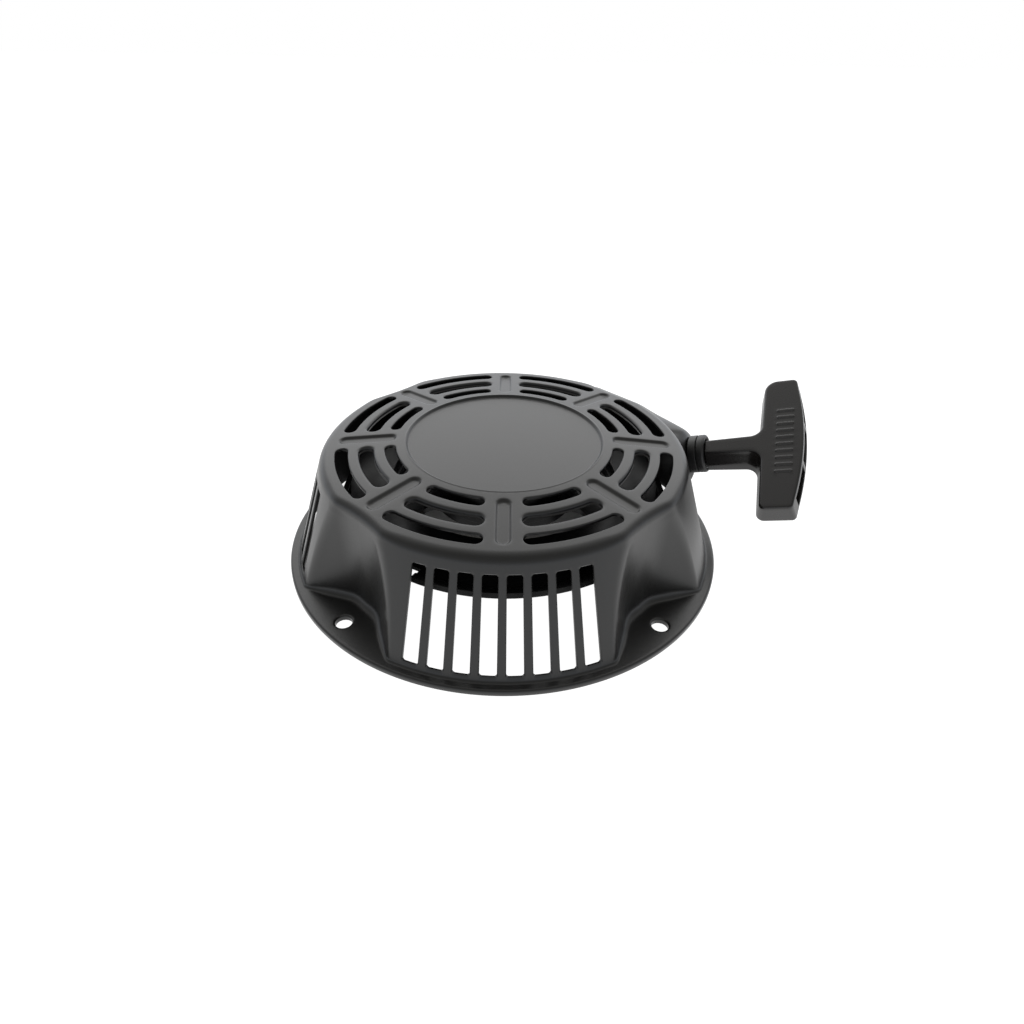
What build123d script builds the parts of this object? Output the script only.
from build123d import *
import os
import math

# Recoil (pull) starter for a small engine: pressed steel housing, rope reel,
# recoil spring, ratchets and pull handle.
# Frame: origin on the reel axis in the plane of the flange lip, +Z away from
# the engine, -Y the side with the full row of air windows. The rope leaves
# mainly towards +X, and a little towards -Y and +Z.
# All lengths are in millimetres and all angles in degrees.

os.makedirs("parts", exist_ok=True)

# --------------------------------------------------------- shared dimensions
SHEET = 1.6              # pressed steel thickness
DISC_Z = 60.4            # top of the recessed centre disc
POST_TOP = DISC_Z - SHEET

PULL_YAW, PULL_PITCH = 23.7, 18.3    # rope outlet axis
MOUTH = Vector(114.6, 26.6, 38.5)    # centre of the outlet mouth
BUSH_LEN = 8.6           # mouth to the seat on the housing
ROPE_R = 2.5

POST_R = 8.0
ARBOR_R, ARBOR_Z = 11.4, 41.4
SHOULDER_R = 5.0                     # shoulder of the setting screw
SHOULDER_BORE = SHOULDER_R + 0.12    # parts that turn or sit on the shoulder

GROOVE_R = 62.0          # bottom of the rope groove
GROOVE_Z1, GROOVE_Z2 = 30.8, 38.6
GROOVE_WALL = 3.0
REEL_KNOT_AZ = 200       # direction of the rope knot on the reel

PIVOT_R = 23.0           # ratchet pivots from the reel axis
DRIVE_PIN_ARM = 8.0      # drive pin from its pivot
DRIVE_PIN_REST = -150.0  # rest direction of the drive pin from its pivot
RATCHET_THROW = 28.0

# ----------------------------------------------------------------- pull axis
yaw, pitch = math.radians(PULL_YAW), math.radians(PULL_PITCH)
LEVEL = Vector(math.cos(yaw), -math.sin(yaw), 0)    # the pull seen from above
PULL = LEVEL * math.cos(pitch) + Vector(0, 0, math.sin(pitch))
SIDE = Vector(math.sin(yaw), math.cos(yaw), 0)
UP = PULL.cross(SIDE)


def along(distance):
    """Point on the pull axis, measured outwards from the mouth."""
    return MOUTH + PULL * distance


def pull_plane(distance):
    """Plane square to the pull axis: local x along SIDE, local y along UP."""
    return Plane(origin=along(distance), x_dir=SIDE, z_dir=PULL)


def save(builder, name):
    builder.part.label = name
    export_step(builder.part, f"parts/{name}.step")


def make_washer(name, plane, outer, inner, thickness):
    with BuildPart() as washer:
        with BuildSketch(plane):
            Circle(outer)
            Circle(inner, mode=Mode.SUBTRACT)
        extrude(amount=thickness)
    save(washer, name)


# ------------------------------------------------------------------- housing
FLANGE_R, FLANGE_TOP = 116.0, 3.0
FLANGE_INNER_R = 85.0    # the flange plate starts inside the bell wall
LIP_FILLET = 1.2
BOLT_XY = 75.0           # bolt holes at (+-75, +-75)
BOLT_R = 4.0
PAD_R = 8.0              # seat under each bolt hole

CONE_BASE_R, CONE_TOP_R = 111.3, 93.0    # wall between the corner pockets
DRUM_BASE_R, DRUM_TOP_R = 92.0, 91.0     # wall inside the corner pockets
WALL_RISE = 55.2         # height over which the wall slope is taken
WALL_SLANT = 1.05        # radial sheet thickness over true thickness
TOP_IN_Z, TOP_IN_R = 61.55, 52.0         # shallow cone of the top annulus
TOP_OUT_Z, TOP_OUT_R = 57.8, 93.0
TOP_SLOPE = (TOP_IN_Z - TOP_OUT_Z) / (TOP_OUT_R - TOP_IN_R)
DISC_R1, DISC_R2 = 48.8, 50.6            # bottom and top of the disc's step

# corner pocket sections: z, x and -y of the apex, where the sides end
POCKET_SECTIONS = ((1.0, 61.3, 38.3), (62.0, 62.6, 9.5))
POCKET_REACH = 150
POCKET_FILLET = 26.0

RIBS = 8
RIB_PITCH = 360 / RIBS
RIB_R1, RIB_R2, RIB_W, RIB_DEEP = 55.5, 86.0, 6.6, 1.3
RIB_BACKING = 1.2        # rib metal below the underside of the sheet
SLOT_ROWS = ((55.6, 61.2), (66.9, 74.0), (79.4, 86.0))    # inner, outer radius
SLOT_CLEAR = 8.5         # slot end to rib centre line

WIN_PITCH, WIN_HALF = 6.15, 2.02    # angular pitch and half width
WIN_R, WIN_FILL = 104.0, 0.95       # radius and factor that set the width
WIN_Z1, WIN_Z2 = 5.6, 50.0
# direction of the row from -Y, first window of the eight that is cut
WINDOW_ROWS = ((0, 0), (-90, 4))

SEAT_R, SEAT_DROP = 15.5, 1.5       # pad the bush sits on, lowered along -UP
BUSH_HOLE_R = 7.1


def top_z(radius):
    """Height of the outer skin of the top annulus."""
    return TOP_IN_Z - TOP_SLOPE * (radius - TOP_IN_R)


def wall_profile(base_r, top_r, inset, shoulder, foot_z):
    """Half section of the bell, offset inwards by inset."""
    rim_r = top_r - inset * WALL_SLANT
    base_r = base_r - inset * WALL_SLANT
    foot_r = base_r + (base_r - rim_r) * (FLANGE_TOP - foot_z) / WALL_RISE
    with BuildSketch(Plane.XZ) as profile:
        with BuildLine():
            Polyline(
                (0, foot_z),
                (foot_r, foot_z),
                (rim_r, top_z(top_r) - inset),
                (DISC_R2, top_z(DISC_R2) - inset),
                (DISC_R1 - inset * 0.3, DISC_Z - inset),
                (0, DISC_Z - inset),
                close=True,
            )
        make_face()
        corner = [v for v in profile.vertices() if abs(v.X - rim_r) < 0.01 and v.Z > 40]
        fillet(corner, shoulder)
    return profile.sketch


def corner_pocket(inset):
    """Cutter for the corner recess at +X -Y, grown outwards by inset."""
    apex_shift = 0.7071 * inset * 1.15
    with BuildPart() as cutter:
        for z, apex, side_end in POCKET_SECTIONS:
            tip = apex - apex_shift
            end = side_end - 1.4 * inset
            with BuildSketch(Plane.XY.offset(z)):
                with BuildLine():
                    Polyline(
                        (tip, -tip),
                        (POCKET_REACH, -end),
                        (POCKET_REACH, -POCKET_REACH),
                        (end, -POCKET_REACH),
                        close=True,
                    )
                make_face()
        loft(ruled=True)
        apex_edge = cutter.edges().filter_by(
            lambda e: abs(e.center().X + e.center().Y) < 0.5
            and e.center().X < 70
            and e.length > 30
        )
        fillet(apex_edge, POCKET_FILLET)
    return cutter.part


def bell(inset, cone_shoulder, drum_shoulder, foot_z):
    """Cone with four corner pockets, joined to the drum inside it."""
    with BuildPart() as body:
        add(wall_profile(CONE_BASE_R, CONE_TOP_R, inset, cone_shoulder, foot_z))
        revolve(axis=Axis.Z)
        cutter = corner_pocket(inset)
        with PolarLocations(0, 4):
            add(cutter, mode=Mode.SUBTRACT)
        add(wall_profile(DRUM_BASE_R, DRUM_TOP_R, inset, drum_shoulder, foot_z))
        revolve(axis=Axis.Z)
    return body.part


def seat_cone(*stations):
    """Cone for the rope outlet seat; stations are (along the pull, radius)."""
    with BuildPart() as cone:
        for distance, radius in stations:
            with BuildSketch(pull_plane(distance)):
                with Locations((0, -SEAT_DROP)):
                    Circle(radius)
        loft(ruled=True)
    return cone.part


def rib_bars(base_z, height, margin, depth):
    """Radial bars, cut away more than depth below the top skin."""
    with BuildPart() as bars:
        with BuildSketch(Plane.XY.offset(base_z)):
            with PolarLocations(0, RIBS):
                with Locations(((RIB_R1 + RIB_R2) / 2, 0)):
                    SlotOverall(RIB_R2 - RIB_R1 + margin[0], RIB_W + margin[1])
        extrude(amount=height)
        with BuildSketch(Plane.XZ):
            with BuildLine():
                Polyline(
                    (40, 50), (92, 50), (92, top_z(92) - depth), (40, top_z(40) - depth),
                    close=True,
                )
            make_face()
        revolve(axis=Axis.Z, mode=Mode.SUBTRACT)
    return bars.part


def window_cutter():
    """Cutter for one air window, centred on z = 0 and pointing to -Y."""
    width = 2 * WIN_R * math.tan(math.radians(WIN_HALF)) * WIN_FILL
    with BuildPart() as cutter:
        with BuildSketch(Plane.XZ.offset(80.0)) as opening:
            Rectangle(width, WIN_Z2 - WIN_Z1)
            fillet(opening.vertices(), 1.0)
        extrude(amount=45)
    return cutter.part


outer_bell = bell(0.0, 6.0, 5.0, 1.8)
inner_bell = bell(SHEET, 4.4, 3.4, -1.0)

# raised seat for the rope outlet, kept between z = 2 and z = 58.6
with BuildPart() as boss:
    add(seat_cone((-BUSH_LEN - 24.0, 25.0), (-BUSH_LEN, SEAT_R)))
    for base_z, height in ((58.6, 60), (-40, 42)):
        with BuildSketch(Plane.XY.offset(base_z)):
            Rectangle(400, 400)
        extrude(amount=height, mode=Mode.SUBTRACT)

boss_hollow = seat_cone((-BUSH_LEN - 26.0, 23.9), (-BUSH_LEN - SHEET, SEAT_R - 1.5))
window = window_cutter()

with BuildPart() as housing:
    add(outer_bell)
    add(boss.part)
    # flange plate with its turned-down lip
    with BuildSketch(Plane.XZ) as flange:
        with BuildLine():
            Polyline(
                (FLANGE_INNER_R, FLANGE_TOP - SHEET),
                (FLANGE_R - SHEET, FLANGE_TOP - SHEET),
                (FLANGE_R - SHEET, 0),
                (FLANGE_R, 0),
                (FLANGE_R, FLANGE_TOP),
                (FLANGE_INNER_R, FLANGE_TOP),
                close=True,
            )
        make_face()
        lip_corner = [v for v in flange.vertices() if abs(v.X - FLANGE_R) < 0.01 and v.Z > 3]
        fillet(lip_corner, LIP_FILLET)
    revolve(axis=Axis.Z)
    # hollow
    add(inner_bell, mode=Mode.SUBTRACT)
    add(boss_hollow, mode=Mode.SUBTRACT)
    # rib metal under the top skin, then the pressed channels above it
    add(rib_bars(55.6, 3.4, (2.4, 2.0), SHEET + RIB_BACKING))
    add(rib_bars(55.0, 8, (0, 0), RIB_DEEP), mode=Mode.SUBTRACT)
    # arc slots of the top annulus, between the ribs
    with BuildSketch(Plane.XY.offset(50.0)):
        for r1, r2 in SLOT_ROWS:
            mid_r = (r1 + r2) / 2
            inset = math.degrees(math.asin((SLOT_CLEAR + (r2 - r1) / 2) / mid_r))
            with PolarLocations(0, RIBS, start_angle=RIB_PITCH / 2):
                arc = CenterArc((0, 0), mid_r, -RIB_PITCH / 2 + inset, RIB_PITCH - 2 * inset)
                SlotArc(arc, r2 - r1)
    extrude(amount=14, mode=Mode.SUBTRACT)
    # air windows: eight in the -Y bulge, four in the -Y half of the -X bulge
    for row_angle, first in WINDOW_ROWS:
        for i in range(first, 8):
            angle = row_angle + (i - 3.5) * WIN_PITCH
            with Locations(Location((0, 0, (WIN_Z1 + WIN_Z2) / 2), (0, 0, angle))):
                add(window, mode=Mode.SUBTRACT)
    # round seats under the bolt holes, level with the lip
    with BuildSketch(Plane.XY):
        with GridLocations(2 * BOLT_XY, 2 * BOLT_XY, 2, 2):
            Circle(PAD_R)
    extrude(amount=FLANGE_TOP - SHEET + 0.4)
    # bolt holes
    with BuildSketch(Plane.XY.offset(-1.0)):
        with GridLocations(2 * BOLT_XY, 2 * BOLT_XY, 2, 2):
            Circle(BOLT_R)
    extrude(amount=8, mode=Mode.SUBTRACT)
    # hole for the rope bush
    with BuildSketch(pull_plane(-BUSH_LEN - 6.0)):
        Circle(BUSH_HOLE_R)
    extrude(amount=12, mode=Mode.SUBTRACT)
save(housing, "housing")

# --------------------------------------------------------------- centre post
POST_FOOT_Z = 24.0
# base z, radius, height: cap under the disc, post, spring arbor
POST_DISCS = (
    (POST_TOP - 2.2, 17.0, 2.2),
    (POST_FOOT_Z, POST_R, POST_TOP - POST_FOOT_Z - 1.0),
    (ARBOR_Z, ARBOR_R, POST_TOP - ARBOR_Z - 1.0),
)

with BuildPart() as centre_post:
    for base_z, radius, height in POST_DISCS:
        with BuildSketch(Plane.XY.offset(base_z)):
            Circle(radius)
        extrude(amount=height)
    # spring anchor slot
    with BuildSketch(Plane.XY.offset(ARBOR_Z - 0.5)):
        with Locations((-9.0, 0)):
            Rectangle(10.0, 1.2)
    extrude(amount=10.6, mode=Mode.SUBTRACT)
    # hole for the setting screw
    with BuildSketch(Plane.XY.offset(POST_FOOT_Z - 1.0)):
        Circle(4.05)
    extrude(amount=16.0, mode=Mode.SUBTRACT)
save(centre_post, "centre_post")

# ---------------------------------------------------------------- rope guide
BUSH_R, BUSH_BORE_R = 10.6, 3.4
# ring cuts: along the pull, outer radius, inner radius, signed width
BUSH_GROOVES = (
    (-4.2, BUSH_R + 1, BUSH_R - 0.9, -0.8),            # behind the lip
    (-BUSH_LEN - SHEET - 1.5, 9, 5.9, 1.2),            # for the retaining clip
)

with BuildPart() as rope_guide_bush:
    with BuildSketch(pull_plane(0)):
        Circle(BUSH_R)
    extrude(amount=-(BUSH_LEN - 0.1))
    # neck through the housing
    with BuildSketch(pull_plane(-BUSH_LEN - 5.0)):
        Circle(7.0)
    extrude(amount=6.0)
    for distance, outer, inner, width in BUSH_GROOVES:
        with BuildSketch(pull_plane(distance)):
            Circle(outer)
            Circle(inner, mode=Mode.SUBTRACT)
        extrude(amount=width, mode=Mode.SUBTRACT)
    # funnel at the mouth
    for distance, radius in ((0.01, 8.6), (-7.0, BUSH_BORE_R)):
        with BuildSketch(pull_plane(distance)):
            Circle(radius)
    loft(ruled=True, mode=Mode.SUBTRACT)
    # rope bore
    with BuildSketch(pull_plane(-BUSH_LEN - 6.0)):
        Circle(BUSH_BORE_R)
    extrude(amount=BUSH_LEN, mode=Mode.SUBTRACT)
    # funnel at the inner end
    for distance, radius in ((-BUSH_LEN - 5.01, 5.4), (-BUSH_LEN - 1.5, BUSH_BORE_R)):
        with BuildSketch(pull_plane(distance)):
            Circle(radius)
    loft(ruled=True, mode=Mode.SUBTRACT)
save(rope_guide_bush, "rope_guide_bush")

# retaining clip, open at the bottom
with BuildPart() as rope_guide_clip:
    with BuildSketch(pull_plane(-BUSH_LEN - SHEET - 1.4)):
        Circle(9.8)
        Circle(6.0, mode=Mode.SUBTRACT)
        with Locations((0, -8)):
            Rectangle(7.0, 9.0, mode=Mode.SUBTRACT)
    extrude(amount=1.0)
save(rope_guide_clip, "rope_guide_clip")

# ---------------------------------------------------------------------- reel
REEL_R = 86.0                        # lower flange
REEL_Z1, REEL_Z2 = 28.6, 40.6
RIM_Z = 31.8                         # top of the thicker rim of the lower flange
UPPER_R = 80.0                       # upper flange
DRUM_IN_R = GROOVE_R - GROOVE_WALL   # inside of the rope drum
REEL_BORE = POST_R + 0.08
HUB_R, HUB_Z = 12.0, 24.1
WEB_Z1, WEB_Z2 = 34.0, 36.8
CUP_R1, CUP_R2, CUP_TOP = 30.5, 33.0, 52.0    # spring cup
CUP_FLOOR_Z = 38.6
SPOKES = 6
SPOKE_PITCH = 360 / SPOKES
OPEN_R, OPEN_W = 48.0, 17.5          # centre radius and width of the openings
OPEN_INSET = 17.0                    # spoke centre to opening arc end, degrees
NOTCH_AZ = -90 - 31.0

# half section of the reel: radius, z
REEL_PROFILE = (
    (REEL_BORE, HUB_Z), (HUB_R, HUB_Z), (HUB_R, 29.0), (38.0, 29.0), (38.0, WEB_Z1),
    (DRUM_IN_R, WEB_Z1), (DRUM_IN_R, REEL_Z1), (REEL_R, REEL_Z1),
    (REEL_R, RIM_Z), (REEL_R - 3.0, RIM_Z), (REEL_R - 4.5, GROOVE_Z1),
    (GROOVE_R, GROOVE_Z1), (GROOVE_R, GROOVE_Z2),
    (UPPER_R, GROOVE_Z2), (UPPER_R, REEL_Z2), (DRUM_IN_R, REEL_Z2), (DRUM_IN_R, WEB_Z2),
    (CUP_R2, WEB_Z2), (CUP_R2, CUP_TOP), (CUP_R1, CUP_TOP), (CUP_R1, CUP_FLOOR_Z),
    (11.6, CUP_FLOOR_Z), (11.6, REEL_Z2), (REEL_BORE, REEL_Z2),
)
# cuts through the rope side: azimuth, radius, base z, height, radial size, width
REEL_NOTCHES = (
    (NOTCH_AZ, REEL_R, 20, 14.5, 15.0, 7.0),             # rope notch in the rim
    (REEL_KNOT_AZ, DRUM_IN_R, 31.4, 6.6, 11.0, 9.0),     # knot pocket
)

with BuildPart() as reel:
    with BuildSketch(Plane.XZ):
        with BuildLine():
            Polyline(*REEL_PROFILE, close=True)
        make_face()
    revolve(axis=Axis.Z)
    # openings between the spokes
    with BuildSketch(Plane.XY.offset(20)):
        with PolarLocations(0, SPOKES):
            arc = CenterArc(
                (0, 0), OPEN_R, -SPOKE_PITCH / 2 + OPEN_INSET, SPOKE_PITCH - 2 * OPEN_INSET
            )
            SlotArc(arc, OPEN_W)
    extrude(amount=40, mode=Mode.SUBTRACT)
    for azimuth, radius, base_z, height, length, width in REEL_NOTCHES:
        with BuildSketch(Plane.XY.offset(base_z)):
            with Locations(Location((0, 0, 0), (0, 0, azimuth))):
                with Locations((radius, 0)):
                    Rectangle(length, width)
        extrude(amount=height, mode=Mode.SUBTRACT)
    # pin holes, then the wider return spring seats
    for radius, depth in ((3.0, 8.0), (5.6, 4.2)):
        with BuildSketch(Plane.XY.offset(28)):
            with PolarLocations(PIVOT_R, 2):
                Circle(radius)
        extrude(amount=depth, mode=Mode.SUBTRACT)
    # slot for the outer end of the recoil spring
    with BuildSketch(Plane.XY.offset(39.0)):
        with Locations((-31.5, 0)):
            Rectangle(6.0, 1.6)
    extrude(amount=14.0, mode=Mode.SUBTRACT)
save(reel, "reel")

# ------------------------------------------------------------- recoil spring
SPRING_Z, SPRING_H, SPRING_T = 41.6, 9.0, 0.6
SPRING_R1, SPRING_R2, SPRING_TURNS = 12.4, 29.4, 9
SPRING_HOOKS = ((7.4, SPRING_R1), (SPRING_R2, 32.4))    # radial span of each hook


def spiral_points(offset):
    """Points on the spring's spiral, shifted radially; it starts at -X."""
    steps = SPRING_TURNS * 20
    points = []
    for i in range(steps + 1):
        angle = math.pi + 2 * math.pi * SPRING_TURNS * i / steps
        radius = SPRING_R1 + (SPRING_R2 - SPRING_R1) * i / steps + offset
        points.append((radius * math.cos(angle), radius * math.sin(angle)))
    return points


with BuildPart() as recoil_spring:
    with BuildSketch(Plane.XY.offset(SPRING_Z)):
        with BuildLine():
            outer_face = Spline(*spiral_points(SPRING_T / 2))
            inner_face = Spline(*spiral_points(-SPRING_T / 2))
            Line(outer_face @ 0, inner_face @ 0)
            Line(outer_face @ 1, inner_face @ 1)
        make_face()
        for r1, r2 in SPRING_HOOKS:
            with Locations((-(r1 + r2) / 2, 0)):
                Rectangle(r2 - r1, SPRING_T)
    extrude(amount=SPRING_H)
save(recoil_spring, "recoil_spring")

# ---------------------------------------------------------------------- rope
ROPE_Z = (GROOVE_Z1 + GROOVE_Z2) / 2
COIL_H = 6.8
TANGENT_R = abs(MOUTH.dot(SIDE))     # pull axis from the reel axis, seen from above
COIL_R = TANGENT_R + ROPE_R - 0.1
BEND_REACH = 4                       # the bend starts and ends this far from its corner
KNOT_S = 41.2                        # knot in the grip, along the pull

# wound rope, as one solid ring
with BuildPart() as rope_coil:
    with BuildSketch(Plane.XY.offset(ROPE_Z - COIL_H / 2)):
        Circle(COIL_R)
        Circle(GROOVE_R + 0.1, mode=Mode.SUBTRACT)
    extrude(amount=COIL_H)
    circles = rope_coil.edges().filter_by(GeomType.CIRCLE)
    fillet(circles.filter_by(lambda e: e.radius > COIL_R - 0.5), 2.2)
save(rope_coil, "rope_coil")

# rope from the coil to the bush: level, then bent onto the pull axis
bend_s = -(MOUTH.Z - ROPE_Z) / math.sin(pitch)
tangent_point = SIDE * TANGENT_R + Vector(0, 0, ROPE_Z)
with BuildPart() as rope_lead:
    with BuildLine():
        level_run = Line(tangent_point, along(bend_s) - LEVEL * BEND_REACH)
        bend = Spline(
            level_run @ 1, along(bend_s + BEND_REACH), tangents=[level_run % 1, PULL]
        )
        Line(bend @ 1, along(-4.6))
    with BuildSketch(Plane(origin=tangent_point, z_dir=LEVEL)):
        Circle(ROPE_R)
    sweep()
    # clear of the coil
    with BuildSketch(Plane.XY.offset(20)):
        Circle(COIL_R + 0.15)
    extrude(amount=30, mode=Mode.SUBTRACT)
save(rope_lead, "rope_lead")

# rope from the bush to the knot in the grip
with BuildPart() as rope_end:
    with BuildSketch(pull_plane(-4.4)):
        Circle(ROPE_R)
    extrude(amount=4.4 + KNOT_S - 0.1)
save(rope_end, "rope_end")

with BuildPart() as rope_reel_knot:
    with BuildSketch(Plane.XY.offset(31.8)):
        with Locations(Location((0, 0, 0), (0, 0, REEL_KNOT_AZ))):
            with Locations((GROOVE_R - 3.6, 0)):
                Ellipse(3.4, 4.0)
    extrude(amount=5.8)
    fillet(rope_reel_knot.edges().filter_by(GeomType.ELLIPSE), 1.6)
save(rope_reel_knot, "rope_reel_knot")

make_washer("rope_stop_washer", pull_plane(KNOT_S - 1.8), 4.6, ROPE_R + 0.15, 1.2)

with BuildPart() as rope_handle_knot:
    with BuildSketch(pull_plane(KNOT_S)):
        Circle(4.1)
    extrude(amount=6.0)
    fillet(rope_handle_knot.edges().filter_by(GeomType.CIRCLE), 2.2)
save(rope_handle_knot, "rope_handle_knot")

# -------------------------------------------------------------------- handle
GRIP_TWIST = 30.8                    # grip about the pull axis
GRIP_HALF = 40.5                     # half length of the bar
GRIP_IN, GRIP_OUT = 31.0, 51.8       # bar, along the pull
GRIP_THICK = 14.2
GRIP_WALL = 2.4
HALF_THICK = GRIP_THICK / 2

twist = math.radians(GRIP_TWIST)
GRIP_BAR = SIDE * math.cos(twist) + UP * math.sin(twist)
GRIP_NORMAL = PULL.cross(GRIP_BAR)


def grip_plane(height):
    """Plane along the broad face: local x along the pull, local y along the bar."""
    return Plane(origin=MOUTH + GRIP_NORMAL * height, x_dir=PULL, z_dir=GRIP_NORMAL)


def grip_outline(height, stem_half, neck_half, inner, outer, half):
    """T outline at a height over the pull axis; the outer edge is bowed."""
    with BuildSketch(grip_plane(height)) as outline:
        with BuildLine():
            Polyline(
                (1.0, -stem_half), (inner - 6.0, -neck_half), (inner - 1.2, -11.0),
                (inner, -half + 5.0), (inner + 4.0, -half),
                (outer - 9.0, -half), (outer - 4.2, -half + 4.5),
            )
            ThreePointArc((outer - 4.2, -half + 4.5), (outer, 0), (outer - 4.2, half - 4.5))
            Polyline(
                (outer - 4.2, half - 4.5), (outer - 9.0, half),
                (inner + 4.0, half), (inner, half - 5.0),
                (inner - 1.2, 11.0), (inner - 6.0, neck_half), (1.0, stem_half),
                (1.0, -stem_half),
            )
        make_face()
    return outline.sketch


# hollow, open on the outer edge, less two cross ribs and a block round the bore
# blocks left standing: centre x, centre y, length, width
GRIP_BLOCKS = (
    (GRIP_IN + 10, -12.0, 60, 2.0),
    (GRIP_IN + 10, 12.0, 60, 2.0),
    (GRIP_IN - 1, 0, 18.0, 20.0),
)
with BuildPart() as grip_hollow:
    with BuildSketch(grip_plane(-HALF_THICK + GRIP_WALL)):
        with Locations((GRIP_IN + 23.0, 0)):
            Rectangle(38.0, 2 * GRIP_HALF - 9.0)
    extrude(amount=GRIP_THICK - 2 * GRIP_WALL)
    for x, y, length, width in GRIP_BLOCKS:
        with BuildSketch(grip_plane(-HALF_THICK)):
            with Locations((x, y)):
                Rectangle(length, width)
        extrude(amount=GRIP_THICK, mode=Mode.SUBTRACT)

with BuildPart() as handle_grip:
    add(grip_outline(-HALF_THICK, 5.4, 6.8, GRIP_IN - 3.6, GRIP_OUT + 1.2, GRIP_HALF + 0.8))
    add(grip_outline(HALF_THICK, 4.2, 5.3, GRIP_IN, GRIP_OUT, GRIP_HALF))
    loft(ruled=True)
    # round stem end that seats in the mouth
    for distance, radius in ((-3.2, 4.4), (2.4, 6.4)):
        with BuildSketch(pull_plane(distance)):
            Circle(radius)
    loft(ruled=True)
    add(grip_hollow.part, mode=Mode.SUBTRACT)
    # rope bore
    with BuildSketch(pull_plane(-4.0)):
        Circle(3.0)
    extrude(amount=GRIP_IN + 14.0, mode=Mode.SUBTRACT)
save(handle_grip, "handle_grip")

# ----------------------------------------------------------------- ratchets
# outline: x from the pivot, y
RATCHET_OUTLINE = (
    (4.6, 3.0), (6.4, -6.0), (6.2, -15.5), (2.0, -15.0),
    (-2.0, -9.5), (-10.0, -6.8), (-10.0, -2.0), (-4.2, 3.0),
)


def drive_pin(throw):
    """Drive pin centre of the +X ratchet, swung by throw from rest."""
    arm = Vector(DRIVE_PIN_ARM, 0, 0).rotate(Axis.Z, DRIVE_PIN_REST + throw)
    return Vector(PIVOT_R, 0, 0) + arm


with BuildPart() as ratchet_blank:
    with BuildSketch(Plane.XY.offset(23.6)):
        with BuildLine():
            Polyline(*[(PIVOT_R + x, y) for x, y in RATCHET_OUTLINE], close=True)
        make_face()
        with Locations((PIVOT_R, 0)):
            Circle(4.8)
    extrude(amount=4.8)
    # drive pin
    with BuildSketch(Plane.XY.offset(18.4)):
        with Locations(drive_pin(0)):
            Circle(1.9)
    extrude(amount=6.0)
    # pivot hole
    with BuildSketch(Plane.XY.offset(20)):
        with Locations((PIVOT_R, 0)):
            Circle(3.06)
    extrude(amount=12, mode=Mode.SUBTRACT)

for name, turn in (("ratchet_1", 0), ("ratchet_2", 180)):
    with BuildPart() as ratchet:
        add(ratchet_blank.part, rotation=(0, 0, turn))
    save(ratchet, name)

# shank, then head: base z, radius, height
with BuildPart() as ratchet_pins:
    for base_z, radius, height in ((23.4, 2.98, 12.4), (22.4, 4.2, 1.0)):
        with BuildSketch(Plane.XY.offset(base_z)):
            with PolarLocations(PIVOT_R, 2):
                Circle(radius)
        extrude(amount=height)
save(ratchet_pins, "ratchet_pins")

with BuildPart() as ratchet_return_springs:
    with BuildLine() as coil:
        Helix(pitch=1.25, height=2.5, radius=4.4, center=(PIVOT_R, 0, 29.1))
    with BuildSketch(Plane(origin=coil.line @ 0, z_dir=coil.line % 0)):
        Circle(0.5)
    sweep(is_frenet=True)
    add(ratchet_return_springs.part, rotation=(0, 0, 180))
save(ratchet_return_springs, "ratchet_return_springs")

# ------------------------------------------------------------- ratchet guide
GUIDE_R = 26.0
CAM_SLOT_W = 4.4
CAM_STEPS = 8

with BuildPart() as ratchet_guide:
    with BuildSketch(Plane.XY.offset(19.0)):
        Circle(GUIDE_R)
        Circle(SHOULDER_BORE, mode=Mode.SUBTRACT)
    extrude(amount=2.4)
    # cam slots: path of each drive pin seen from the guide
    with BuildSketch(Plane.XY.offset(18.0)):
        for turn in (0, 180):
            path = []
            for i in range(CAM_STEPS + 1):
                throw = RATCHET_THROW * i / CAM_STEPS
                path.append(drive_pin(throw).rotate(Axis.Z, turn - throw))
            for start, end in zip(path, path[1:]):
                SlotCenterPoint((start + end) * 0.5, end, CAM_SLOT_W)
    extrude(amount=5.0, mode=Mode.SUBTRACT)
save(ratchet_guide, "ratchet_guide")

# open wire ring
with BuildPart() as friction_spring:
    with BuildSketch(Plane.XZ):
        with Locations((10.2, 22.2)):
            Circle(0.7)
    revolve(axis=Axis.Z, revolution_arc=318)
save(friction_spring, "friction_spring")

# ------------------------------------------------------- washers and screw
make_washer("guide_thrust_washer", Plane.XY.offset(17.9), 9.5, SHOULDER_BORE, 1.0)
make_washer("reel_thrust_washer", Plane.XY.offset(40.7), 11.2, POST_R + 0.2, 0.6)
make_washer("reel_retaining_washer", Plane.XY.offset(23.0), 12.5, SHOULDER_BORE, 0.9)

# base z, radius, length: head flange, shoulder, shank
SCREW_STEPS = ((16.6, 9.0, 1.2), (17.8, SHOULDER_R, 6.1), (23.9, 4.0, 13.0))

with BuildPart() as setting_screw:
    with BuildSketch(Plane.XY.offset(12.4)):
        RegularPolygon(6.5, 6)
    extrude(amount=4.2)
    for base_z, radius, length in SCREW_STEPS:
        with BuildSketch(Plane.XY.offset(base_z)):
            Circle(radius)
        extrude(amount=length)
    chamfer(setting_screw.faces().sort_by(Axis.Z)[-1].edges(), 0.8)
save(setting_screw, "setting_screw")
